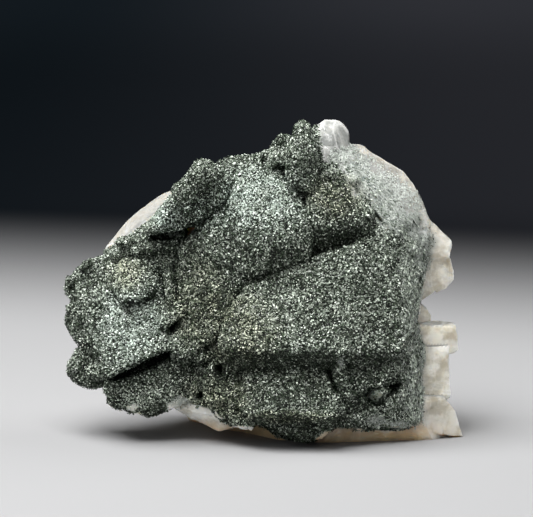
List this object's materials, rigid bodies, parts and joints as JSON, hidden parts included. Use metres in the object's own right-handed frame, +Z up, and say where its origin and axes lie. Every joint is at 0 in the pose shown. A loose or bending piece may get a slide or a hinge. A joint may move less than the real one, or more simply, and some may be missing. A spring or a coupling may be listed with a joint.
{
  "type": "chlorite-included orthoclase",
  "caption": "Hand-size group of blocky feldspar crystals grown together, the front crusted with fine green scales, the back and one side broken white.",
  "frame": {"origin": "middle of the footprint of the group's box, on the flat break it stands on", "axes": "+Z up out of the flat break; -Y out of the crusted growth face, towards the viewer; +X to the viewer's right, towards the broken white side"},
  "size_m": [0.089, 0.0486, 0.0702],
  "materials": {
    "chlorite_orthoclase": "fine scaly dark green crust on the front, glassy to dull cleavage on the white back"
  },
  "bodies": {
    "root": {"orthoclase_group": "chlorite_orthoclase"}
  },
  "joints": []
}
